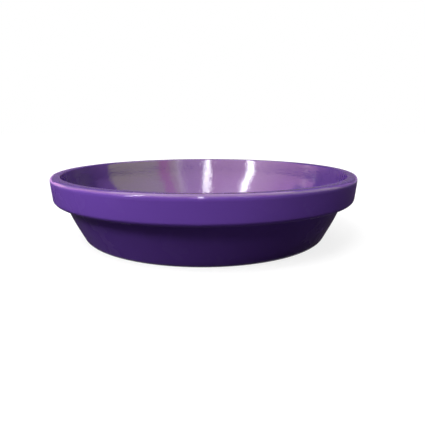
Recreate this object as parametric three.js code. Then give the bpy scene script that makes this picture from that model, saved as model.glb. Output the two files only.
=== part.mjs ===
// A round plant saucer in enamelled sheet steel, for an 8 inch flower pot. Millimetres, +Z up, origin on
// the axis at ground level.
//
// Three pieces are turned about one axis:
//   saucer_pan  one sheet: the floor, the sloping wall, and an upper wall that sweeps upright and ends in
//               a lip: a tight bend on the inside, a narrow flat top, and a curl down the outside
//   rim_band    a folded hoop that gives the saucer its deep rim: its top is hooked round the wire, and
//               its foot is turned in and up to wedge where the pan's wall sweeps upright
//   rim_wire    the stiffening wire under the lip
// The pan's curl runs over the hook and is tucked in under it, which locks all three.
import * as THREE from "three";

// Outside sizes
const rimRadius = 101.5; // the widest point of the lip
const totalHeight = 43;
const bandHeight = 16.4; // from the top of the lip to the underside of the band
const bandTaper = 1.2; // how far the band draws in towards its foot
const shoulderWidth = 6.6; // the step from the band's foot to the wall
const lipWidth = 6.2; // from the inside of the wall to the rim, at the top
const topLean = 7; // degrees that the wall leans from upright, under the lip
const upperLean = 22; // and from the band's foot down to the knee
const lowerLean = 26.7; // and below the knee
const kneeDrop = 11.6; // from the band's foot to where the wall's slope changes

// Sheets, wire and the fit between them
const panSheet = 0.6;
const bandSheet = 0.6;
const wireDiameter = 1.4;
const fitGap = 0.15; // between two pieces, filled by their coats of enamel

// Bends of the pan, as radii of its underside and outside
const footBend = 5;
const kneeBend = 120;
const uprightBend = 45;
const lipBend = 0.5;
const panelBend = 4;

// The floor: a flat ring to stand on, round a panel that is pressed up
const footWidth = 13; // from the foot of the wall to the foot of the panel's step
const panelStep = 3; // how wide the step is
const panelRise = 1.5;

// The curl and the hook, which run straight down before they tuck in. Angles are degrees past level.
const curlDrop = 0.9; // the straight part, below the level of the wire
const curlTuck = 20; // the pan's curl, on the outside
const hookTuck = 18; // where the band leaves the curl, on the outside
const hookWrap = 25; // the end of the band's hook, on the inside

// Bends of the band, as radii of its outside
const joggleDrop = 30; // degrees below level of the joggle that brings the band out to the rim
const joggleBend = 0.35;
const bandTopBend = 1;
const bandCornerBend = 2.9;
const seatBend = 1.5;
const seatHeight = 4.5; // the turned-up edge that wedges on the pan

// How finely the round forms are cut
const turnSteps = 56;
const wireSides = 10;
const bendStep = 26; // the widest angle that one flat may take in a bend, in degrees
const flatError = 0.06; // and how far it may lie from the true round
const samePlace = 0.001; // stations nearer than this are one

const at = (radius, height) => new THREE.Vector2(radius, height);
const move = (from, direction, distance) => from.clone().addScaledVector(direction, distance);
const unit = (from, to) => to.clone().sub(from).normalize();
const leftOf = (direction) => at(-direction.y, direction.x);
const angleOf = (direction) => THREE.MathUtils.radToDeg(Math.atan2(direction.y, direction.x));

function heading(degrees) {
  const angle = THREE.MathUtils.degToRad(degrees);
  return at(Math.cos(angle), Math.sin(angle));
}

// Where the line through a that runs in direction da meets the line through b in direction db.
function crossing(a, da, b, db) {
  return move(a, da, b.clone().sub(a).cross(db) / da.cross(db));
}

// The line that one face of a bent sheet follows in section. Its runs and bends flow into each other,
// and each station keeps the direction in which the line runs there.
class FaceLine {
  constructor(start, direction) {
    this.stations = [{ point: start, direction }];
  }

  get end() {
    return this.stations.at(-1);
  }

  add(point, direction) {
    if (point.distanceTo(this.end.point) > samePlace) this.stations.push({ point, direction });
    return this;
  }

  runTo(point) {
    return this.add(point, this.end.direction);
  }

  // Follows a circle between two angles in degrees, clockwise where the second one is smaller.
  follow(centre, radius, from, to) {
    const flatStep = THREE.MathUtils.radToDeg(2 * Math.acos(1 - Math.min(flatError / radius, 1)));
    const steps = Math.ceil(Math.abs(to - from) / Math.min(bendStep, flatStep));
    const turn = Math.sign(to - from);
    for (let i = 0; i <= steps; i++) {
      const outwards = heading(from + ((to - from) * i) / steps);
      this.add(move(centre, outwards, radius), leftOf(outwards).multiplyScalar(turn));
    }
    return this;
  }

  // Runs to a corner and bends round it towards the next one, no wider than the runs leave room for.
  bendAt(corner, next, radius) {
    const back = unit(corner, this.end.point);
    const ahead = unit(corner, next);
    const half = back.angleTo(ahead) / 2;
    const room = Math.min(corner.distanceTo(this.end.point), corner.distanceTo(next) / 2);
    const reach = Math.min(radius / Math.tan(half), room);
    const start = move(corner, back, reach);
    const middle = back.clone().add(ahead).normalize();
    const centre = move(corner, middle, reach / Math.cos(half));
    const from = angleOf(unit(centre, start));
    const turn = (180 - THREE.MathUtils.radToDeg(2 * half)) * Math.sign(ahead.cross(back));
    this.runTo(start);
    return this.follow(centre, reach * Math.tan(half), from, from + turn);
  }

  // The section of a sheet that lies to the left of the line, or to its right where the thickness is
  // negative, run through anticlockwise.
  sheet(thickness) {
    const face = this.stations.map(({ point }) => point);
    const back = this.stations.map(({ point, direction }) => move(point, leftOf(direction), thickness));
    return thickness > 0 ? [...face, ...back.reverse()] : [...back, ...face.reverse()];
  }
}

// The lip, from the wire outwards
const wireRadius = wireDiameter / 2;
const hookRadius = wireRadius + fitGap + bandSheet;
const curlHollow = hookRadius + fitGap;
const lipRadius = curlHollow + panSheet;
const wireCentre = at(rimRadius - lipRadius, totalHeight - lipRadius);
const tuckCentre = move(wireCentre, heading(-90), curlDrop);

// The corners of the outside, from the lip down to the ground
const bandCrown = at(rimRadius, tuckCentre.y);
const bandFoot = at(rimRadius - bandTaper, totalHeight - bandHeight);
const shoulder = move(bandFoot, heading(180), shoulderWidth);
const topSlope = heading(90 - topLean);
const upperSlope = heading(90 - upperLean);
const lowerSlope = heading(90 - lowerLean);
const knee = crossing(shoulder, upperSlope, at(0, shoulder.y - kneeDrop), heading(0));
const foot = crossing(knee, lowerSlope, at(0, 0), heading(0));

// The corners of the wall above the band's foot
const lipCorner = at(rimRadius - lipWidth + panSheet, totalHeight - panSheet);
const uprightCorner = crossing(shoulder, upperSlope, lipCorner, topSlope);

function panSection() {
  const panelFoot = at(foot.x - footWidth, 0);
  const panelEdge = at(panelFoot.x - panelStep, panelRise);
  const curlTop = move(wireCentre, heading(90), curlHollow);
  return new FaceLine(at(0, panelRise), heading(0))
    .bendAt(panelEdge, panelFoot, panelBend)
    .bendAt(panelFoot, foot, panelBend)
    .bendAt(foot, knee, footBend)
    .bendAt(knee, uprightCorner, kneeBend)
    .bendAt(uprightCorner, lipCorner, uprightBend)
    .bendAt(lipCorner, curlTop, lipBend)
    .follow(wireCentre, curlHollow, 90, 0)
    .follow(tuckCentre, curlHollow, 0, -curlTuck)
    .sheet(panSheet);
}

// The band's turned-up edge touches the wall halfway round the wall's bend upright.
function seatLine() {
  const direction = upperSlope.clone().add(topSlope).normalize();
  const insideCorner = uprightBend / direction.dot(topSlope) - uprightBend;
  return { direction, point: move(uprightCorner, leftOf(direction), insideCorner - fitGap) };
}

function bandSection() {
  const hookStart = 180 + hookWrap;
  const hookEnd = move(tuckCentre, heading(-hookTuck), hookRadius);
  const curlEnd = move(tuckCentre, heading(-curlTuck), curlHollow);
  const joggle = heading(-joggleDrop);
  const underCurl = move(curlEnd, heading(-joggleDrop - 90), fitGap);
  const joggleTop = crossing(hookEnd, heading(-hookTuck - 90), underCurl, joggle);
  const bandTop = crossing(underCurl, joggle, bandFoot, unit(bandCrown, bandFoot));
  const seat = seatLine();
  const seatFoot = crossing(bandFoot, heading(180), seat.point, seat.direction);
  const seatTop = move(seatFoot, seat.direction, seatHeight);
  return new FaceLine(move(wireCentre, heading(hookStart), hookRadius), heading(hookStart - 90))
    .follow(wireCentre, hookRadius, hookStart, 0)
    .follow(tuckCentre, hookRadius, 0, -hookTuck)
    .bendAt(joggleTop, bandTop, joggleBend)
    .bendAt(bandTop, bandFoot, bandTopBend)
    .bendAt(bandFoot, seatFoot, bandCornerBend)
    .bendAt(seatFoot, seatTop, seatBend)
    .runTo(seatTop)
    .sheet(-bandSheet);
}

function wireSection() {
  return Array.from({ length: wireSides }, (_, i) =>
    move(wireCentre, heading((360 * i) / wireSides), wireRadius),
  );
}

// Glossy violet enamel, fired on the sheets
function enamel() {
  return new THREE.MeshStandardMaterial({ color: 0x5c3f94, roughness: 0.15, metalness: 0 });
}

function bareSteel() {
  return new THREE.MeshStandardMaterial({ color: 0xa6a9ab, roughness: 0.45, metalness: 1 });
}

// A piece turned about the Z axis. A section that doesn't touch the axis is closed on itself.
function turned(name, section, material) {
  const touchesAxis = section[0].x < samePlace;
  const profile = touchesAxis ? section : [...section, section[0]];
  const mesh = new THREE.Mesh(new THREE.LatheGeometry(profile, turnSteps), material);
  mesh.name = name;
  mesh.rotation.x = Math.PI / 2;
  return mesh;
}

const saucer = new THREE.Group();
saucer.add(
  turned("saucer_pan", panSection(), enamel()),
  turned("rim_band", bandSection(), enamel()),
  turned("rim_wire", wireSection(), bareSteel()),
);

export default saucer;
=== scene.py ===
# A round plant saucer in violet enamelled sheet steel, dressed for a studio picture.
# Metres, Z up, the saucer's axis at the origin and its foot on the ground.
import math

import bpy
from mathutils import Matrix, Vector


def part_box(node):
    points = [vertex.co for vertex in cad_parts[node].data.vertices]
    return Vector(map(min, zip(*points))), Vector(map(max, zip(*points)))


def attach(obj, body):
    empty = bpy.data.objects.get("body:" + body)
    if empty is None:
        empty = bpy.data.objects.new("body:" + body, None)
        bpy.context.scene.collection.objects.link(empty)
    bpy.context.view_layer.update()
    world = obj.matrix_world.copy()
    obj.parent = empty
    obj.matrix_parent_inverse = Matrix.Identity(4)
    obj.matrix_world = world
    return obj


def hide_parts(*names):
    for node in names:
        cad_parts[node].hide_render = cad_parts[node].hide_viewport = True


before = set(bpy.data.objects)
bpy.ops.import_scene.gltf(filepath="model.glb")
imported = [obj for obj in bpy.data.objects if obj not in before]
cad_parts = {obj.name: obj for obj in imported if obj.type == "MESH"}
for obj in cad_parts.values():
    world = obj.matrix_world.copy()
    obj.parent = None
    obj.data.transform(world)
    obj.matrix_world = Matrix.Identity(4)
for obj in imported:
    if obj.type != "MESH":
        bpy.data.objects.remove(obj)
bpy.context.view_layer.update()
scene = bpy.context.scene
print("frame loaded:", ", ".join(sorted(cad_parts)))


def addNode(tree, kind, **settings):
    node = tree.nodes.new(kind)
    for name, value in settings.items():
        setattr(node, name, value)
    return node


def feed(tree, socket, value):
    # value is another socket, or a plain value for this one
    if isinstance(value, bpy.types.NodeSocket):
        tree.links.new(value, socket)
    else:
        socket.default_value = value


def maths(tree, operation, *values):
    node = addNode(tree, "ShaderNodeMath", operation=operation)
    for socket, value in zip(node.inputs, values):
        feed(tree, socket, value)
    return node.outputs[0]


def mapRange(tree, value, low, high, toLow, toHigh, kind="SMOOTHSTEP"):
    node = addNode(tree, "ShaderNodeMapRange", interpolation_type=kind)
    sockets = ("Value", "From Min", "From Max", "To Min", "To Max")
    for name, given in zip(sockets, (value, low, high, toLow, toHigh)):
        feed(tree, node.inputs[name], given)
    return node.outputs["Result"]


# the line of one face of a bent sheet, in section

samePlace = 0.00002  # stations nearer than this are one


def point(radius, height):
    return Vector((radius, height))


def heading(degrees):
    return Vector((math.cos(math.radians(degrees)), math.sin(math.radians(degrees))))


def leftOf(direction):
    return Vector((-direction.y, direction.x))


def angleOf(direction):
    return math.degrees(math.atan2(direction.y, direction.x))


def cross2(a, b):
    return a.x * b.y - a.y * b.x


def crossing(a, da, b, db):
    # where the line through a along da meets the one through b along db
    return a + da * (cross2(b - a, db) / cross2(da, db))


class SheetLine:
    # runs and bends that flow into each other; each station keeps its direction

    def __init__(self, start, direction, longestRun=0.004, flatError=0.000004, widestTurn=6):
        self.stations = [(start, direction.normalized())]
        self.longestRun = longestRun
        self.flatError = flatError
        self.widestTurn = widestTurn

    def add(self, place, direction):
        if (place - self.stations[-1][0]).length > samePlace:
            self.stations.append((place, direction.normalized()))

    def runTo(self, place):
        start, direction = self.stations[-1]
        pieces = max(1, math.ceil((place - start).length / self.longestRun))
        for i in range(1, pieces + 1):
            self.add(start.lerp(place, i / pieces), direction)
        return self

    def follow(self, centre, radius, first, last):
        # round a circle between two angles in degrees, clockwise where last is the smaller
        flat = math.degrees(2 * math.acos(1 - min(self.flatError / radius, 1)))
        steps = math.ceil(abs(last - first) / min(flat, self.widestTurn))
        turn = 1 if last > first else -1
        for i in range(steps + 1):
            outwards = heading(first + (last - first) * i / steps)
            self.add(centre + outwards * radius, leftOf(outwards) * turn)
        return self

    def bendAt(self, corner, onward, radius):
        # runs to a corner and bends round it towards the next one
        back = (self.stations[-1][0] - corner).normalized()
        ahead = (onward - corner).normalized()
        half = back.angle(ahead) / 2
        room = min((self.stations[-1][0] - corner).length, (onward - corner).length / 2)
        reach = min(radius / math.tan(half), room)
        start = corner + back * reach
        centre = corner + (back + ahead).normalized() * (reach / math.cos(half))
        first = angleOf(start - centre)
        turn = (180 - math.degrees(2 * half)) * (1 if cross2(ahead, back) > 0 else -1)
        self.runTo(start)
        return self.follow(centre, reach * math.tan(half), first, first + turn)


# turned sheet: a tree that gives a section line its thickness and turns it round the axis

closeWithin = 0.000004  # how near the two ends of the grid are when they are made one
sharpFrom = 50  # degrees between two faces that leave a sharp edge


def buildTurningTree():
    tree = bpy.data.node_groups.new("turnedSheet", "GeometryNodeTree")
    tree.is_modifier = True
    face = tree.interface
    face.new_socket("Section", in_out="INPUT", socket_type="NodeSocketGeometry")
    for name, kind in (
        ("Sheet thickness", "NodeSocketFloat"),
        ("Turn steps", "NodeSocketInt"),
        ("Unevenness", "NodeSocketFloat"),
        ("Swell length", "NodeSocketFloat"),
        ("Seed", "NodeSocketFloat"),
        ("Finish", "NodeSocketMaterial"),
    ):
        face.new_socket(name, in_out="INPUT", socket_type=kind)
    face.new_socket("Piece", in_out="OUTPUT", socket_type="NodeSocketGeometry")
    given = addNode(tree, "NodeGroupInput").outputs
    section, steps = given["Section"], given["Turn steps"]

    # one row of the grid for each station of the face, then back down the other face, then the first again
    size = addNode(tree, "GeometryNodeAttributeDomainSize", component="MESH")
    feed(tree, size.inputs[0], section)
    stations = size.outputs["Point Count"]
    loop = maths(tree, "MULTIPLY", stations, 2)
    grid = addNode(tree, "GeometryNodeMeshGrid")
    feed(tree, grid.inputs["Vertices X"], maths(tree, "ADD", loop, 1))
    feed(tree, grid.inputs["Vertices Y"], maths(tree, "ADD", steps, 1))
    index = addNode(tree, "GeometryNodeInputIndex").outputs[0]
    perRow = maths(tree, "ADD", steps, 1)
    row = maths(tree, "FLOOR", maths(tree, "DIVIDE", maths(tree, "ADD", index, 0.5), perRow))
    turn = maths(tree, "SUBTRACT", index, maths(tree, "MULTIPLY", row, perRow))
    row = maths(tree, "FLOORED_MODULO", row, loop)
    onBack = maths(tree, "GREATER_THAN", row, maths(tree, "SUBTRACT", stations, 0.5))
    mirrored = maths(tree, "SUBTRACT", maths(tree, "SUBTRACT", loop, 1), row)
    station = addNode(tree, "GeometryNodeSwitch", input_type="FLOAT")
    for socket, value in zip(station.inputs, (onBack, row, mirrored)):
        feed(tree, socket, value)
    wanted = maths(tree, "ROUND", station.outputs[0])

    def sampled(field, kind):
        node = addNode(tree, "GeometryNodeSampleIndex", data_type=kind, domain="POINT")
        feed(tree, node.inputs["Geometry"], section)
        feed(tree, node.inputs["Value"], field)
        feed(tree, node.inputs["Index"], wanted)
        return node.outputs["Value"]

    def stored(name, kind):
        node = addNode(tree, "GeometryNodeInputNamedAttribute", data_type=kind)
        node.inputs["Name"].default_value = name
        return node.outputs["Attribute"]

    place = sampled(addNode(tree, "GeometryNodeInputPosition").outputs[0], "FLOAT_VECTOR")
    across = sampled(stored("acrossSheet", "FLOAT_VECTOR"), "FLOAT_VECTOR")
    give = sampled(stored("give", "FLOAT"), "FLOAT")
    gloss = maths(tree, "MULTIPLY", sampled(stored("polish", "FLOAT"), "FLOAT"), onBack)
    depth = maths(tree, "MULTIPLY", given["Sheet thickness"], onBack)
    inner = addNode(tree, "ShaderNodeVectorMath", operation="SCALE")
    feed(tree, inner.inputs[0], across)
    feed(tree, inner.inputs["Scale"], depth)
    total = addNode(tree, "ShaderNodeVectorMath", operation="ADD")
    feed(tree, total.inputs[0], place)
    feed(tree, total.inputs[1], inner.outputs[0])
    parts = addNode(tree, "ShaderNodeSeparateXYZ")
    feed(tree, parts.inputs[0], total.outputs[0])
    radius, height = parts.outputs["X"], parts.outputs["Z"]

    # the slight swell that a hand-spun rim keeps, read on a ring so that it meets itself
    angle = maths(tree, "MULTIPLY", maths(tree, "DIVIDE", turn, steps), 2 * math.pi)
    cosine, sine = maths(tree, "COSINE", angle), maths(tree, "SINE", angle)
    ring = addNode(tree, "ShaderNodeCombineXYZ")
    for axis, share in (("X", cosine), ("Y", sine)):
        along = maths(tree, "MULTIPLY", radius, share)
        feed(tree, ring.inputs[axis], maths(tree, "DIVIDE", along, given["Swell length"]))
    swell = addNode(tree, "ShaderNodeTexNoise", noise_dimensions="4D")
    feed(tree, swell.inputs["Vector"], ring.outputs[0])
    feed(tree, swell.inputs["W"], given["Seed"])
    swell.inputs["Scale"].default_value = 1.0
    swell.inputs["Detail"].default_value = 1.5
    centred = maths(tree, "SUBTRACT", swell.outputs["Fac"], 0.5)
    shift = maths(tree, "MULTIPLY", maths(tree, "MULTIPLY", centred, given["Unevenness"]), give)
    radius = maths(tree, "ADD", radius, shift)
    height = maths(tree, "SUBTRACT", height, maths(tree, "ABSOLUTE", shift))
    turned = addNode(tree, "ShaderNodeCombineXYZ")
    feed(tree, turned.inputs["X"], maths(tree, "MULTIPLY", radius, cosine))
    feed(tree, turned.inputs["Y"], maths(tree, "MULTIPLY", radius, sine))
    feed(tree, turned.inputs["Z"], height)

    spread = addNode(tree, "GeometryNodeStoreNamedAttribute", data_type="FLOAT2", domain="CORNER")
    spread.inputs["Name"].default_value = "UVMap"
    feed(tree, spread.inputs["Geometry"], grid.outputs["Mesh"])
    feed(tree, spread.inputs["Value"], grid.outputs["UV Map"])
    polished = addNode(tree, "GeometryNodeStoreNamedAttribute", data_type="FLOAT", domain="POINT")
    polished.inputs["Name"].default_value = "gloss"
    feed(tree, polished.inputs["Geometry"], spread.outputs[0])
    feed(tree, polished.inputs["Value"], gloss)
    moved = addNode(tree, "GeometryNodeSetPosition")
    feed(tree, moved.inputs["Geometry"], polished.outputs[0])
    feed(tree, moved.inputs["Position"], turned.outputs[0])
    closed = addNode(tree, "GeometryNodeMergeByDistance")
    feed(tree, closed.inputs["Geometry"], moved.outputs[0])
    closed.inputs["Distance"].default_value = closeWithin
    outward = addNode(tree, "GeometryNodeFlipFaces")
    feed(tree, outward.inputs[0], closed.outputs[0])
    smooth = addNode(tree, "GeometryNodeSetShadeSmooth")
    feed(tree, smooth.inputs["Geometry"], outward.outputs[0])
    real = addNode(tree, "GeometryNodeRealizeInstances")
    feed(tree, real.inputs[0], smooth.outputs[0])
    finish = addNode(tree, "GeometryNodeSetMaterial")
    feed(tree, finish.inputs["Geometry"], real.outputs[0])
    feed(tree, finish.inputs["Material"], given["Finish"])
    result = addNode(tree, "NodeGroupOutput")
    feed(tree, result.inputs[0], finish.outputs[0])
    return tree


turningTree = buildTurningTree()


def softStep(value, low, high):
    share = min(max((value - low) / (high - low), 0), 1)
    return share * share * (3 - 2 * share)


def turnPiece(name, line, sheet, polish, v, material):
    # the section is drawn in the XZ plane, with what each station needs kept beside it
    mesh = bpy.data.meshes.new(name + "Section")
    places = [place for place, direction in line.stations]
    mesh.from_pydata([(p.x, 0, p.y) for p in places], [(i, i + 1) for i in range(len(places) - 1)], [])
    across = []
    for place, direction in line.stations:
        left = leftOf(direction)
        across += (left.x, 0, left.y)
    give = [softStep(place.y, *v["giveFrom"]) for place in places]
    mesh.attributes.new("acrossSheet", "FLOAT_VECTOR", "POINT").data.foreach_set("vector", across)
    mesh.attributes.new("give", "FLOAT", "POINT").data.foreach_set("value", give)
    shine = [polish(place) for place in places]
    mesh.attributes.new("polish", "FLOAT", "POINT").data.foreach_set("value", shine)
    source = bpy.data.objects.new(name + "Source", mesh)
    scene.collection.objects.link(source)
    modifier = source.modifiers.new("turn", "NODES")
    modifier.node_group = turningTree
    sockets = {s.name: s.identifier for s in turningTree.interface.items_tree if s.in_out == "INPUT"}
    for label, value in (
        ("Sheet thickness", sheet),
        ("Turn steps", v["turnSteps"]),
        ("Unevenness", v["unevenness"]),
        ("Swell length", v["swellLength"]),
        ("Seed", v["seed"]),
        ("Finish", material),
    ):
        modifier[sockets[label]] = value
    depsgraph = bpy.context.evaluated_depsgraph_get()
    turned = bpy.data.meshes.new_from_object(source.evaluated_get(depsgraph))
    source.modifiers.remove(modifier)
    bpy.data.objects.remove(source)
    turned.name = name
    turned.set_sharp_from_angle(angle=math.radians(sharpFrom))
    piece = bpy.data.objects.new(name, turned)
    scene.collection.objects.link(piece)
    print(name, "turned:", len(turned.polygons), "faces")
    return piece


# finishes


def newMaterial(name):
    material = bpy.data.materials.new(name)
    material.use_nodes = True
    material.node_tree.nodes.clear()
    tree = material.node_tree
    out = addNode(tree, "ShaderNodeOutputMaterial")
    return material, tree, out


def ringPlace(tree, alongTurn):
    # radius and height as they are, and a small circle for the way round: marks that follow the turning
    # stretch along it, and close on themselves
    place = addNode(tree, "ShaderNodeTexCoord").outputs["Object"]
    parts = addNode(tree, "ShaderNodeSeparateXYZ")
    feed(tree, parts.inputs[0], place)
    flat = addNode(tree, "ShaderNodeCombineXYZ")
    feed(tree, flat.inputs["X"], parts.outputs["X"])
    feed(tree, flat.inputs["Y"], parts.outputs["Y"])
    radius = addNode(tree, "ShaderNodeVectorMath", operation="LENGTH")
    feed(tree, radius.inputs[0], flat.outputs[0])
    direction = addNode(tree, "ShaderNodeVectorMath", operation="NORMALIZE")
    feed(tree, direction.inputs[0], flat.outputs[0])
    small = addNode(tree, "ShaderNodeSeparateXYZ")
    feed(tree, small.inputs[0], direction.outputs[0])
    ring = addNode(tree, "ShaderNodeCombineXYZ")
    feed(tree, ring.inputs["X"], radius.outputs["Value"])
    feed(tree, ring.inputs["Y"], parts.outputs["Z"])
    feed(tree, ring.inputs["Z"], maths(tree, "MULTIPLY", small.outputs["X"], alongTurn))
    last = maths(tree, "MULTIPLY", small.outputs["Y"], alongTurn)
    return place, radius.outputs["Value"], parts.outputs["Z"], ring.outputs[0], last


def noise(tree, place, size, detail=2.0, roughness=0.5, w=None):
    node = addNode(tree, "ShaderNodeTexNoise", noise_dimensions="3D" if w is None else "4D")
    feed(tree, node.inputs["Vector"], place)
    if w is not None:
        feed(tree, node.inputs["W"], w)
    node.inputs["Scale"].default_value = 1 / size
    node.inputs["Detail"].default_value = detail
    node.inputs["Roughness"].default_value = roughness
    return node.outputs["Fac"]


noiseSpan = (0.3, 0.7)  # most of the noise lies between these


def mixColours(tree, share, first, second):
    node = addNode(tree, "ShaderNodeMix", data_type="RGBA")
    feed(tree, node.inputs["Factor"], share)
    feed(tree, node.inputs[6], first)
    feed(tree, node.inputs[7], second)
    return node.outputs[2]


def bump(tree, height, depth, normal=None, strength=1.0):
    node = addNode(tree, "ShaderNodeBump")
    node.inputs["Distance"].default_value = depth
    feed(tree, node.inputs["Strength"], strength)
    feed(tree, node.inputs["Height"], height)
    if normal is not None:
        feed(tree, node.inputs["Normal"], normal)
    return node.outputs[0]


enamelValues = {
    "violet": (0.110, 0.046, 0.290, 1),
    "deepViolet": (0.100, 0.042, 0.264, 1),
    "paintedLightAndShade": (1.28, 0.7),  # painted light and painted shade: how much lighter the colour is made where it is satin, and how much darker where it is glossy
    "scuffed": (0.16, 0.10, 0.33, 1),  # where the foot is rubbed
    "rubbedUpTo": (0.00015, 0.0012),
    "rubSize": 0.0022,
    "rubbedFrom": (0.52, 0.66),
    "rubRoughness": 0.25,
    "smearSize": 0.02,
    "cloudSize": 0.06,
    "roughness": (0.2, 0.3),
    "ior": 1.5,
    "specular": 0.04,
    "specularTint": (1.0, 0.7, 0.85, 1),
    "coat": 0.72,
    "coatRoughness": 0.03,
    "peelSize": 0.0028,
    "peelDepth": 0.0000035,
    "rippleSize": 0.0015,
    "rippleStretch": 0.035,
    "rippleDepth": 0.0001,
    "combSize": 0.0008,
    "combStretch": 0.027,
    "combDepth": 0.000075,
    "markedUpTo": (0.0408, 0.0422),  # the heights over which ripples and comb fade
    "lipMarks": 0.1,  # and how much of them is left on the lip
    "plainCentre": (0.006, 0.02),  # the radii over which all marks of the turning fade
    "lineWidth": 0.0009,
    "lineStretch": 0.01,
    "lineDepth": 0.00003,
    "mattBump": 0.25,  # how much of the bump is left on the outside
}


def violetEnamel(v):
    material, tree, out = newMaterial("violet_enamel")
    shader = addNode(tree, "ShaderNodeBsdfPrincipled")
    place, radius, height, ring, ringW = ringPlace(tree, v["lineStretch"])
    longRing, longRingW = ringPlace(tree, v["rippleStretch"])[-2:]
    combed, combedW = ringPlace(tree, v["combStretch"])[-2:]

    # soft clouds, where the coat was sprayed thinner or thicker
    cloud = noise(tree, place, v["cloudSize"], 2.5)
    colour = mixColours(tree, mapRange(tree, cloud, *noiseSpan, 0, 1), v["deepViolet"], v["violet"])
    # painted light and shade: the satin outside is painted lighter, and the glossy inside and lip darker,
    # than the enamel's own colour
    gloss = addNode(tree, "ShaderNodeAttribute", attribute_name="gloss").outputs["Fac"]
    paintedLightAndShadeScale = addNode(tree, "ShaderNodeVectorMath", operation="SCALE")
    feed(tree, paintedLightAndShadeScale.inputs[0], colour)
    feed(tree, paintedLightAndShadeScale.inputs["Scale"], mapRange(tree, gloss, 0, 1, *v["paintedLightAndShade"], "LINEAR"))
    colour = paintedLightAndShadeScale.outputs[0]
    # the foot is rubbed where it stands
    foot = mapRange(tree, height, *v["rubbedUpTo"], 1, 0)
    foot = maths(tree, "MULTIPLY", foot, maths(tree, "SUBTRACT", 1, gloss))
    rub = mapRange(tree, noise(tree, place, v["rubSize"], 5, 0.65), *v["rubbedFrom"], 0, 1)
    worn = maths(tree, "MULTIPLY", foot, rub)
    colour = mixColours(tree, worn, colour, v["scuffed"])
    feed(tree, shader.inputs["Base Color"], colour)

    lines = noise(tree, ring, v["lineWidth"], 3, 0.6, ringW)
    smear = noise(tree, place, v["smearSize"], 3)
    rough = mapRange(tree, smear, *noiseSpan, *v["roughness"])
    rough = maths(tree, "ADD", rough, maths(tree, "MULTIPLY", worn, v["rubRoughness"]))
    feed(tree, shader.inputs["Roughness"], rough)

    # the inside and the lip are glossy, the outside is satin and smoother
    clear = mapRange(tree, gloss, 0, 1, v["mattBump"], 1, "LINEAR")
    peel = noise(tree, place, v["peelSize"], 1.5)
    surface = bump(tree, peel, v["peelDepth"], strength=clear)
    # the marks of the turning run out towards the axis
    clear = maths(tree, "MULTIPLY", clear, mapRange(tree, radius, *v["plainCentre"], 0, 1))
    surface = bump(tree, lines, v["lineDepth"], surface, clear)
    ripples = noise(tree, longRing, v["rippleSize"], 3, 0.6, longRingW)
    comb = noise(tree, combed, v["combSize"], 2, 0.5, combedW)
    # the wall keeps the marks of its turning, the lip is smooth
    marked = maths(tree, "MULTIPLY", clear, mapRange(tree, height, *v["markedUpTo"], 1, v["lipMarks"]))
    surface = bump(tree, ripples, v["rippleDepth"], surface, marked)
    surface = bump(tree, comb, v["combDepth"], surface, marked)
    feed(tree, shader.inputs["Normal"], surface)
    feed(tree, shader.inputs["Coat Normal"], surface)

    shader.inputs["IOR"].default_value = v["ior"]
    shader.inputs["Specular IOR Level"].default_value = v["specular"]
    shader.inputs["Specular Tint"].default_value = v["specularTint"]
    feed(tree, shader.inputs["Coat Weight"], maths(tree, "MULTIPLY", gloss, v["coat"]))
    shader.inputs["Coat Roughness"].default_value = v["coatRoughness"]
    tree.links.new(shader.outputs[0], out.inputs["Surface"])
    return material


wireValues = {
    "steel": (0.40, 0.41, 0.42, 1),
    "dull": (0.20, 0.195, 0.19, 1),
    "roughness": (0.3, 0.5),
    "filmSize": 0.012,
    "filmFrom": (0.35, 0.7),
    "drawLine": 0.00025,
    "drawStretch": 0.004,
    "drawDepth": 0.000003,
}


def drawnWire(v):
    material, tree, out = newMaterial("drawn_steel_wire")
    shader = addNode(tree, "ShaderNodeBsdfPrincipled")
    place, _, _, ring, ringW = ringPlace(tree, v["drawStretch"])
    lines = noise(tree, ring, v["drawLine"], 2, 0.6, ringW)
    film = mapRange(tree, noise(tree, place, v["filmSize"], 4), *v["filmFrom"], 0, 1)
    feed(tree, shader.inputs["Base Color"], mixColours(tree, film, v["steel"], v["dull"]))
    feed(tree, shader.inputs["Roughness"], mapRange(tree, lines, *noiseSpan, *v["roughness"]))
    feed(tree, shader.inputs["Normal"], bump(tree, lines, v["drawDepth"]))
    shader.inputs["Metallic"].default_value = 1
    tree.links.new(shader.outputs[0], out.inputs["Surface"])
    return material


enamel = violetEnamel(enamelValues)
wireSteel = drawnWire(wireValues)
print("finishes made")


# the saucer

# outside sizes, read off the frame so that the pieces stay where its nodes are
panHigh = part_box("saucer_pan")[1]
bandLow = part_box("rim_band")[0]
wireLow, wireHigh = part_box("rim_wire")
rimRadius = panHigh.x
totalHeight = panHigh.z
wireLevel = (wireLow.z + wireHigh.z) / 2
lipRadius = totalHeight - wireLevel
wireCentre = point(rimRadius - lipRadius, wireLevel)

wall = {
    "bandTaper": 0.0012,
    "shoulder": 0.0066,
    "lipWidth": 0.0062,
    "topLean": 7,
    "upperLean": 22,
    "lowerLean": 26.7,
    "kneeDrop": 0.0116,
    "uprightBend": 0.045,
    "curlDrop": 0.0009,
    "fitGap": 0.00015,
}

tuckCentre = wireCentre - point(0, wall["curlDrop"])
bandCrown = point(rimRadius, tuckCentre.y)
bandFoot = point(rimRadius - wall["bandTaper"], bandLow.z)
shoulder = bandFoot - point(wall["shoulder"], 0)
topSlope = heading(90 - wall["topLean"])
upperSlope = heading(90 - wall["upperLean"])
lowerSlope = heading(90 - wall["lowerLean"])
knee = crossing(shoulder, upperSlope, shoulder - point(0, wall["kneeDrop"]), heading(0))
foot = crossing(knee, lowerSlope, point(0, 0), heading(0))

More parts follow.
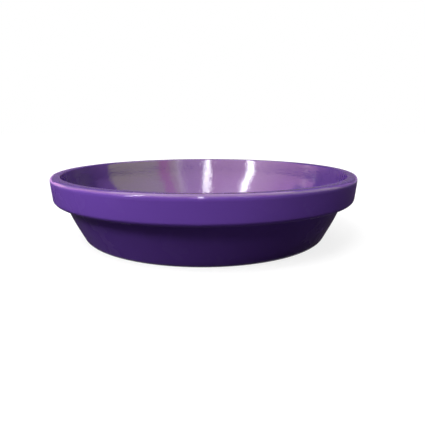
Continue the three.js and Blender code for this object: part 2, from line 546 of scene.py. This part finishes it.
pan = {
    "sheet": 0.0006,
    "footBend": 0.005,
    "kneeBend": 0.12,
    "panelBend": 0.004,
    "footWidth": 0.013,
    "panelStep": 0.003,
    "panelRise": 0.0015,
    "curlTuck": 20,
    "lipBend": 0.0005,
    "polishFade": (0.0410, 0.0421),
}

curlHollow = lipRadius - pan["sheet"]
lipCorner = point(rimRadius - wall["lipWidth"] + pan["sheet"], totalHeight - pan["sheet"])
uprightCorner = crossing(shoulder, upperSlope, lipCorner, topSlope)

# all the sheets swell alike, so that they stay in touch
turning = {
    "turnSteps": 240,
    "unevenness": 0.0002,
    "swellLength": 0.014,
    "seed": 4.0,
    "giveFrom": (shoulder.y, wireCentre.y),  # the heights over which the swell sets in
}


def panLine(v):
    panelFoot = point(foot.x - v["footWidth"], 0)
    panelEdge = point(panelFoot.x - v["panelStep"], v["panelRise"])
    line = SheetLine(point(0, v["panelRise"]), heading(0))
    line.bendAt(panelEdge, panelFoot, v["panelBend"])
    line.bendAt(panelFoot, foot, v["panelBend"])
    line.bendAt(foot, knee, v["footBend"])
    line.bendAt(knee, uprightCorner, v["kneeBend"])
    line.bendAt(uprightCorner, lipCorner, wall["uprightBend"])
    line.bendAt(lipCorner, wireCentre + point(0, curlHollow), v["lipBend"])
    line.follow(wireCentre, curlHollow, 90, 0)
    line.follow(tuckCentre, curlHollow, 0, -v["curlTuck"])
    return line


def panPolish(place):
    # glossy inside and on top, and going matt where the curl turns down; the same share also sets the
    # painted light and shade of the colour
    return 1 if place.x < wireCentre.x else softStep(place.y, *pan["polishFade"])


panSkin = turnPiece("pan_skin", panLine(pan), pan["sheet"], panPolish, turning, enamel)

band = {
    "sheet": 0.0006,
    "hookTuck": 18,
    "hookWrap": 25,
    "joggleDrop": 30,
    "joggleBend": 0.00035,
    "topBend": 0.001,
    "cornerBend": 0.0029,
    "seatBend": 0.0015,
    "seatHeight": 0.0045,
}


def bandLine(v):
    # from the turned-up seat, round the foot and up the outside, and over the wire
    hookRadius = curlHollow - wall["fitGap"]
    hookEnd = tuckCentre + heading(-v["hookTuck"]) * hookRadius
    curlEnd = tuckCentre + heading(-pan["curlTuck"]) * curlHollow
    joggle = heading(-v["joggleDrop"])
    underCurl = curlEnd + heading(-v["joggleDrop"] - 90) * wall["fitGap"]
    joggleTop = crossing(hookEnd, heading(-v["hookTuck"] - 90), underCurl, joggle)
    bandTop = crossing(underCurl, joggle, bandFoot, (bandFoot - bandCrown).normalized())
    seatWay = (upperSlope + topSlope).normalized()
    insideCorner = wall["uprightBend"] / seatWay.dot(topSlope) - wall["uprightBend"]
    seatPlace = uprightCorner + leftOf(seatWay) * (insideCorner - wall["fitGap"])
    seatFoot = crossing(bandFoot, heading(180), seatPlace, seatWay)
    seatTop = seatFoot + seatWay * v["seatHeight"]
    line = SheetLine(seatTop, -seatWay)
    line.bendAt(seatFoot, bandFoot, v["seatBend"])
    line.bendAt(bandFoot, bandTop, v["cornerBend"])
    line.bendAt(bandTop, joggleTop, v["topBend"])
    line.bendAt(joggleTop, hookEnd, v["joggleBend"])
    line.runTo(hookEnd)
    line.follow(tuckCentre, hookRadius, -v["hookTuck"], 0)
    line.follow(wireCentre, hookRadius, 0, 180 + v["hookWrap"])
    return line


def noPolish(place):
    return 0


bandSkin = turnPiece("band_skin", bandLine(band), band["sheet"], noPolish, turning, enamel)

seam = {
    "sheet": 0.0003,
    "top": -7,  # on the curl, in degrees past level
    "bottom": 0.0375,
    "proud": 0.000012,
    "bend": 0.02,
    "longestRun": 0.0004,
}


def seamLine(v):
    # enamel that has run into the groove between the curl's edge and the band
    top = tuckCentre + heading(v["top"]) * (lipRadius + v["proud"])
    bandWay = (bandFoot - bandCrown).normalized()
    outwards = leftOf(bandWay)
    bottom = crossing(bandCrown, bandWay, point(0, v["bottom"]), heading(0)) + outwards * v["proud"]
    middle = crossing(top, heading(v["top"] - 90), bottom, bandWay)
    line = SheetLine(bottom, -bandWay, longestRun=v["longestRun"])
    line.bendAt(middle, top, v["bend"])
    line.runTo(top)
    return line


seamEnamel = turnPiece("seam_enamel", seamLine(seam), seam["sheet"], noPolish, turning, enamel)

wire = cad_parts["rim_wire"]
wire.data.materials.clear()
wire.data.materials.append(wireSteel)

for piece in (panSkin, bandSkin, seamEnamel):
    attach(piece, "root")
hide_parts("saucer_pan")
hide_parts("rim_band")
print("saucer dressed")


# floor, lamps and camera

studio = {
    "floorColour": (0.22, 0.22, 0.22, 1),
    "floorGrain": (0.21, 0.21, 0.21, 1),
    "grainSize": 0.02,
    "grainShare": (0.97, 1),
    "floorGlow": (0.82, 1.0),  # the floor's own white where it is seen or mirrored, near and far
    "glowGrows": (0.25, 0.7),  # from the saucer
    "floorBounce": (0.08, 0.08, 0.08, 1),
    "surround": 0.04,
    "floorSize": 6.0,
}


def seenDirectly(tree):
    # 1 for rays from the camera, from gloss and through glass
    path = addNode(tree, "ShaderNodeLightPath")
    both = maths(tree, "ADD", path.outputs["Is Camera Ray"], path.outputs["Is Glossy Ray"])
    return maths(tree, "MINIMUM", maths(tree, "ADD", both, path.outputs["Is Transmission Ray"]), 1)


def paleFloor(v):
    material, tree, out = newMaterial("pale_floor")
    seen = seenDirectly(tree)
    place = addNode(tree, "ShaderNodeTexCoord").outputs["Object"]
    grain = mapRange(tree, noise(tree, place, v["grainSize"], 4), *noiseSpan, *v["grainShare"])
    pale = mixColours(tree, grain, v["floorGrain"], v["floorColour"])
    matt = addNode(tree, "ShaderNodeBsdfDiffuse")
    feed(tree, matt.inputs["Color"], pale)
    glow = addNode(tree, "ShaderNodeEmission")
    away = addNode(tree, "ShaderNodeVectorMath", operation="LENGTH")
    feed(tree, away.inputs[0], place)
    strength = mapRange(tree, away.outputs["Value"], *v["glowGrows"], *v["floorGlow"])
    feed(tree, glow.inputs["Strength"], strength)
    white = addNode(tree, "ShaderNodeAddShader")
    tree.links.new(matt.outputs[0], white.inputs[0])
    tree.links.new(glow.outputs[0], white.inputs[1])
    dim = addNode(tree, "ShaderNodeBsdfDiffuse")
    dim.inputs["Color"].default_value = v["floorBounce"]
    choice = addNode(tree, "ShaderNodeMixShader")
    feed(tree, choice.inputs[0], seen)
    tree.links.new(dim.outputs[0], choice.inputs[1])
    tree.links.new(white.outputs[0], choice.inputs[2])
    tree.links.new(choice.outputs[0], out.inputs["Surface"])
    return material


def layFloor(v):
    half = v["floorSize"] / 2
    mesh = bpy.data.meshes.new("floor")
    corners = [(-half, -half, 0), (half, -half, 0), (half, half, 0), (-half, half, 0)]
    mesh.from_pydata(corners, [], [(0, 1, 2, 3)])
    mesh.materials.append(paleFloor(v))
    floor = bpy.data.objects.new("floor", mesh)
    scene.collection.objects.link(floor)


def paintSurround(v):
    world = bpy.data.worlds.new("studio")
    scene.world = world
    world.use_nodes = True
    tree = world.node_tree
    tree.nodes.clear()
    seen = seenDirectly(tree)
    background = addNode(tree, "ShaderNodeBackground")
    background.inputs["Color"].default_value = (1, 1, 1, 1)
    strength = maths(tree, "ADD", maths(tree, "MULTIPLY", seen, 1 - v["surround"]), v["surround"])
    feed(tree, background.inputs["Strength"], strength)
    out = addNode(tree, "ShaderNodeOutputWorld")
    tree.links.new(background.outputs[0], out.inputs["Surface"])


layFloor(studio)
paintSurround(studio)

# azimuths in degrees from +Y towards +X, elevations above the floor
lamps = {
    "key": {"azimuth": -141, "elevation": 51, "away": 1.1, "size": (0.7, 0.7), "power": 17.4},
    "top": {"azimuth": 0, "elevation": 90, "away": 1.1, "size": (2.2, 2.2), "power": 5.8},
    "right": {"azimuth": 120, "elevation": 60, "away": 1.1, "size": (0.7, 0.7), "power": 1.4},
    "rear": {"azimuth": 5, "elevation": 42, "away": 1.2, "size": (1.2, 1.2), "power": 9.0},
}


def towards(azimuth, elevation):
    a, e = math.radians(azimuth), math.radians(elevation)
    return Vector((math.sin(a) * math.cos(e), math.cos(a) * math.cos(e), math.sin(e)))


for name, v in lamps.items():
    light = bpy.data.lights.new(name, "AREA")
    light.shape = "RECTANGLE"
    light.size, light.size_y = v["size"]
    light.energy = v["power"]
    lamp = bpy.data.objects.new(name, light)
    scene.collection.objects.link(lamp)
    way = towards(v["azimuth"], v["elevation"])
    lamp.location = way * v["away"]
    lamp.rotation_euler = way.to_track_quat("Z", "Y").to_euler()
    lamp.visible_glossy = False

# what the gloss mirrors: panels round the saucer as one dome, painted by azimuth, and patches in front of
# it; nothing but the gloss sees them
dome = {
    "away": 0.8,
    "azimuth": (0, 360),
    "elevation": (0, 60),
    "brightest": 10.0,
    "paint": (  # azimuth, tint and strength
        (0, (1.0, 0.7, 0.7), 0.3),
        (12, (1.0, 0.7, 0.7), 0.25),
        (25, (0.8, 0.5, 1.0), 0.4),
        (45, (0.8, 0.5, 1.0), 0.8),
        (74.5, (0.8, 0.45, 1.0), 1.7),
        (75.5, (1.0, 0.93, 0.46), 4.0),
        (110, (1.0, 0.94, 0.38), 4.8),
        (130.5, (1.0, 0.94, 0.38), 4.9),
        (131.5, (1.0, 0.46, 0.4), 5.4),
        (142.5, (1.0, 0.46, 0.4), 5.4),
        (143.5, (1.0, 0.86, 0.4), 6.0),
        (153, (1.0, 0.86, 0.4), 6.0),
        (154, (1.0, 0.7, 0.68), 5.6),
        (180, (1.0, 0.69, 0.67), 5.8),
        (186, (1.0, 0.65, 0.57), 6.9),
        (215, (1.0, 0.66, 0.63), 7.5),
        (238, (1.0, 0.69, 0.67), 8.9),
        (255, (1.0, 0.65, 0.62), 7.5),
        (271, (1.0, 0.58, 0.62), 5.8),
        (289, (1.0, 0.55, 0.68), 4.9),
        (294, (1.0, 0.66, 0.78), 6.4),
        (299, (1.0, 0.53, 0.72), 4.4),
        (310, (1.0, 0.51, 0.9), 2.8),
        (325, (0.9, 0.5, 1.0), 1.2),
        (336, (0.8, 0.5, 1.0), 0.5),
        (349, (0.9, 0.6, 0.8), 0.25),
        (360, (1.0, 0.7, 0.7), 0.3),
    ),
}
cards = {
    "farStrip": {
        "away": 0.76,
        "azimuth": (181, 184.7),
        "elevation": (0, 62),
        "colour": (1, 1, 1),
        "strength": 60.0,
    },
    "leftStrip": {
        "away": 0.75,
        "azimuth": (225.8, 231.8),
        "elevation": (0, 44),
        "colour": (1, 1, 1),
        "strength": 60.0,
    },
    "thinEdge": {
        "away": 0.74,
        "azimuth": (152, 153.5),
        "elevation": (0, 60),
        "colour": (1, 0.9, 0.9),
        "strength": 14.0,
    },
    "overhead": {
        "away": 0.73,
        "azimuth": (0, 360),
        "elevation": (52, 89),
        "colour": (1, 0.78, 0.66),
        "strength": 5.8,
    },
    "leftGlow": {
        "away": 0.71,
        "azimuth": (203, 278),
        "elevation": (47, 72),
        "colour": (1, 0.84, 0.8),
        "strength": 8.5,
    },
    "leftHigh": {
        "away": 0.72,
        "azimuth": (288, 310),
        "elevation": (21, 53),
        "colour": (1, 0.85, 0.9),
        "strength": 1.3,
    },
    "leftLow": {
        "away": 0.72,
        "azimuth": (310, 352),
        "elevation": (9, 53),
        "colour": (1, 0.8, 1),
        "strength": 0.2,
    },
    "rightHigh": {
        "away": 0.72,
        "azimuth": (55, 88),
        "elevation": (36, 53),
        "colour": (1, 0.8, 0.8),
        "strength": 2.0,
    },
    "rightLow": {
        "away": 0.72,
        "azimuth": (12, 55),
        "elevation": (9, 53),
        "colour": (1, 0.8, 0.9),
        "strength": 0.2,
    },
}
patchFaces = (3, 5)  # degrees that one face of a patch may span, round and up

# a dim ring on the ground round the saucer, by radius and height, that only the gloss sees: painted shade,
# so that the lower wall mirrors a shaded floor round the foot
shadeSkirt = {
    "rings": ((0.0825, 0.0005), (0.112, 0.0005), (0.112, 0.038)),
    "colour": (1, 0.8, 1),
    "strength": 0.1,
    "steps": 72,
}


def hangPatch(name, places, faces, material):
    # seen by gloss alone
    mesh = bpy.data.meshes.new(name)
    mesh.from_pydata(places, [], faces)
    mesh.materials.append(material)
    card = bpy.data.objects.new(name, mesh)
    scene.collection.objects.link(card)
    card.visible_camera = False
    card.visible_diffuse = False
    card.visible_shadow = False


def domePatch(name, v, material):
    # between two azimuths and two elevations
    first, last = v["azimuth"]
    low, high = v["elevation"]
    steps = max(2, math.ceil((last - first) / patchFaces[0]))
    rises = max(2, math.ceil((high - low) / patchFaces[1]))
    places, faces = [], []
    for i in range(steps + 1):
        for j in range(rises + 1):
            azimuth, elevation = first + (last - first) * i / steps, low + (high - low) * j / rises
            places.append(towards(azimuth, elevation) * v["away"])
            if i and j:
                corner = i * (rises + 1) + j
                faces.append((corner, corner - 1, corner - rises - 2, corner - rises - 1))
    hangPatch(name, places, faces, material)


def groundSkirt(name, v, material):
    steps = v["steps"]
    places, faces = [], []
    for radius, height in v["rings"]:
        places += [towards(360 * i / steps, 0) * radius + Vector((0, 0, height)) for i in range(steps)]
    for ring in range(len(v["rings"]) - 1):
        for i in range(steps):
            here, onward = ring * steps + i, ring * steps + (i + 1) % steps
            faces.append((here, onward, onward + steps, here + steps))
    hangPatch(name, places, faces, material)


def glowing(name, strength, paint=None, colour=(1, 1, 1)):
    material, tree, out = newMaterial(name)
    glow = addNode(tree, "ShaderNodeEmission")
    glow.inputs["Color"].default_value = (*colour, 1)
    glow.inputs["Strength"].default_value = strength
    if paint:
        parts = addNode(tree, "ShaderNodeSeparateXYZ")
        feed(tree, parts.inputs[0], addNode(tree, "ShaderNodeTexCoord").outputs["Object"])
        # from 0 at azimuth 0 to 1 at 360
        across, along = (maths(tree, "MULTIPLY", parts.outputs[axis], -1) for axis in ("X", "Y"))
        turn = maths(tree, "ARCTAN2", across, along)
        share = maths(tree, "ADD", maths(tree, "DIVIDE", turn, 2 * math.pi), 0.5)
        ramp = addNode(tree, "ShaderNodeValToRGB")
        feed(tree, ramp.inputs[0], share)
        stops = ramp.color_ramp.elements
        for i, (azimuth, tint, level) in enumerate(paint):
            inside = 0 < i < len(paint) - 1
            stop = stops.new(azimuth / 360) if inside else stops[-1 if i else 0]
            stop.position = azimuth / 360
            stop.color = (*(c * level / strength for c in tint), 1)
        feed(tree, glow.inputs["Color"], ramp.outputs["Color"])
    tree.links.new(glow.outputs[0], out.inputs["Surface"])
    return material


domePatch("panels", dome, glowing("panels", dome["brightest"], paint=dome["paint"]))
for name, v in cards.items():
    domePatch(name, v, glowing(name, v["strength"], colour=v["colour"]))
# painted shade in the reflection of the lower wall
groundSkirt("shadeSkirt", shadeSkirt, glowing("shadeSkirt", shadeSkirt["strength"], colour=shadeSkirt["colour"]))

view = {
    "back": 2.8 * rimRadius,
    "up": 0.7313 * rimRadius,
    "tilt": 12.2,  # degrees
    "turn": -1.117,
    "focal": 405,  # in pixels of the photograph
    "frame": 425,
    "sensor": 36,
    "nearest": 0.01,
}
camera = bpy.data.objects.new("camera", bpy.data.cameras.new("camera"))
scene.collection.objects.link(camera)
camera.location = (0, -view["back"], view["up"])
camera.rotation_euler = (math.radians(90 - view["tilt"]), 0, math.radians(view["turn"]))
camera.data.sensor_width = view["sensor"]
camera.data.lens = view["focal"] / view["frame"] * view["sensor"]
camera.data.clip_start = view["nearest"]
scene.camera = camera
scene.view_settings.view_transform = "Standard"
print("studio set")
